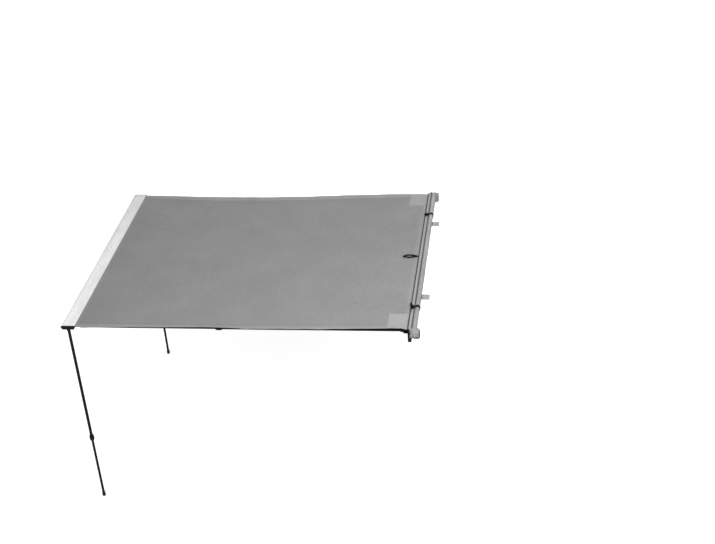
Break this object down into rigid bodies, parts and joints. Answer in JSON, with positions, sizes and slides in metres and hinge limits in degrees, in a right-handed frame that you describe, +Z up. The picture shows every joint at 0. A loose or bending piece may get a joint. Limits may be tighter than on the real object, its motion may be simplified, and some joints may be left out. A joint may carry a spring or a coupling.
{
  "type": "vehicle side awning",
  "caption": "Pull-out side awning for a vehicle: canopy between a base rail and a lead rail on folding telescopic legs, with swing-out telescopic rafter arms.",
  "frame": {"origin": "middle of the flat strip between the two bolt slots on the back of the base rail", "axes": "+Z up, +X along the rails to the near end, the canopy pulls out toward -Y, +Y points to the vehicle"},
  "size_m": [2.0106, 2.606, 1.6183],
  "materials": {
    "rail_silver": "satin anodised, nearly white in the sun",
    "steel": "zinc plated",
    "black_metal": "black powder coat",
    "black_tube": "black anodised tube",
    "black_plastic": "moulded, lightly textured",
    "rubber": "matt",
    "canopy_cloth": "coated plain weave",
    "patch_cloth": "coated plain weave, lighter grey",
    "cover_vinyl": "PVC coated, slightly glossy",
    "webbing": "woven webbing"
  },
  "bodies": {
    "base": {"base_rail": "rail_silver", "base_cap_near": "black_plastic", "base_cap_far": "black_plastic", "mounting_bracket_near": "steel", "mounting_bracket_far": "steel", "bolt_near_upper": "steel", "bolt_near_lower": "steel", "bolt_far_upper": "steel", "bolt_far_lower": "steel", "arm_bracket_near": "black_metal", "arm_bracket_far": "black_metal", "arm_pin_near": "steel", "arm_pin_far": "steel", "canopy": "canopy_cloth", "corner_patch_near": "patch_cloth", "corner_patch_far": "patch_cloth", "bag_cover": "cover_vinyl", "end_flap_near": "cover_vinyl", "end_flap_far": "cover_vinyl", "roll_strap_near": "webbing", "roll_strap_far": "webbing", "roll_buckle_near": "black_plastic", "roll_buckle_far": "black_plastic", "storage_loop": "webbing", "storage_buckle": "black_plastic"},
    "lead": {"lead_rail": "rail_silver", "lead_cap_near": "black_plastic", "lead_cap_far": "black_plastic", "arm_catch_near": "black_plastic", "arm_catch_far": "black_plastic", "leg_bracket_near": "steel", "leg_bracket_far": "steel", "leg_pin_near": "steel", "leg_pin_far": "steel"},
    "leg_upper_near": {"leg_knuckle_near": "black_plastic", "leg_upper_tube_near": "black_tube"},
    "leg_lock_near": {"leg_collar_near": "black_plastic"},
    "leg_lower_near": {"leg_lower_tube_near": "black_tube", "leg_bush_near": "black_plastic", "leg_foot_near": "rubber"},
    "arm_outer_near": {"arm_knuckle_near": "black_plastic", "arm_outer_tube_near": "black_tube"},
    "arm_lock_near": {"arm_collar_near": "black_plastic"},
    "arm_inner_near": {"arm_inner_tube_near": "black_tube", "arm_bush_near": "black_plastic", "arm_tip_near": "black_plastic"},
    "leg_upper_far": {"leg_knuckle_far": "black_plastic", "leg_upper_tube_far": "black_tube"},
    "leg_lock_far": {"leg_collar_far": "black_plastic"},
    "leg_lower_far": {"leg_lower_tube_far": "black_tube", "leg_bush_far": "black_plastic", "leg_foot_far": "rubber"},
    "arm_outer_far": {"arm_knuckle_far": "black_plastic", "arm_outer_tube_far": "black_tube"},
    "arm_lock_far": {"arm_collar_far": "black_plastic"},
    "arm_inner_far": {"arm_inner_tube_far": "black_tube", "arm_bush_far": "black_plastic", "arm_tip_far": "black_plastic"}
  },
  "joints": [
    {"name": "roll_in", "type": "slide", "parent": "base", "child": "lead", "axis": [0, 1, 0], "range_m": [0, 2.3], "deforming": ["canopy", "corner_patch_near", "corner_patch_far"]},
    {"name": "leg_fold_near", "type": "hinge", "parent": "lead", "child": "leg_upper_near", "pos_m": [0.97, -2.468, 0.041], "axis": [0, 1, 0], "range_deg": [0, 90]},
    {"name": "leg_twist_near", "type": "hinge", "parent": "leg_upper_near", "child": "leg_lock_near", "pos_m": [0.97, -2.468, -0.969], "axis": [0, 0, 1], "range_deg": [0, 90]},
    {"name": "leg_length_near", "type": "slide", "parent": "leg_upper_near", "child": "leg_lower_near", "axis": [0, 0, 1], "range_m": [-0.3, 0.49]},
    {"name": "arm_swing_near", "type": "hinge", "parent": "base", "child": "arm_outer_near", "pos_m": [0.912, -0.05, 0.002], "axis": [0, 0, -1], "range_deg": [0, 90]},
    {"name": "arm_twist_near", "type": "hinge", "parent": "arm_outer_near", "child": "arm_lock_near", "pos_m": [0.912, -1.38, 0.002], "axis": [0, 1, 0], "range_deg": [0, 90]},
    {"name": "arm_length_near", "type": "slide", "parent": "arm_outer_near", "child": "arm_inner_near", "axis": [0, 1, 0], "range_m": [0, 0.94]},
    {"name": "leg_fold_far", "type": "hinge", "parent": "lead", "child": "leg_upper_far", "pos_m": [-0.97, -2.436, 0.041], "axis": [0, -1, 0], "range_deg": [0, 90]},
    {"name": "leg_twist_far", "type": "hinge", "parent": "leg_upper_far", "child": "leg_lock_far", "pos_m": [-0.97, -2.436, -0.969], "axis": [0, 0, 1], "range_deg": [0, 90]},
    {"name": "leg_length_far", "type": "slide", "parent": "leg_upper_far", "child": "leg_lower_far", "axis": [0, 0, 1], "range_m": [-0.3, 0.49]},
    {"name": "arm_swing_far", "type": "hinge", "parent": "base", "child": "arm_outer_far", "pos_m": [-0.912, -0.05, -0.038], "axis": [0, 0, 1], "range_deg": [0, 90]},
    {"name": "arm_twist_far", "type": "hinge", "parent": "arm_outer_far", "child": "arm_lock_far", "pos_m": [-0.912, -1.38, -0.038], "axis": [0, 1, 0], "range_deg": [0, 90]},
    {"name": "arm_length_far", "type": "slide", "parent": "arm_outer_far", "child": "arm_inner_far", "axis": [0, 1, 0], "range_m": [0, 0.94]}
  ]
}
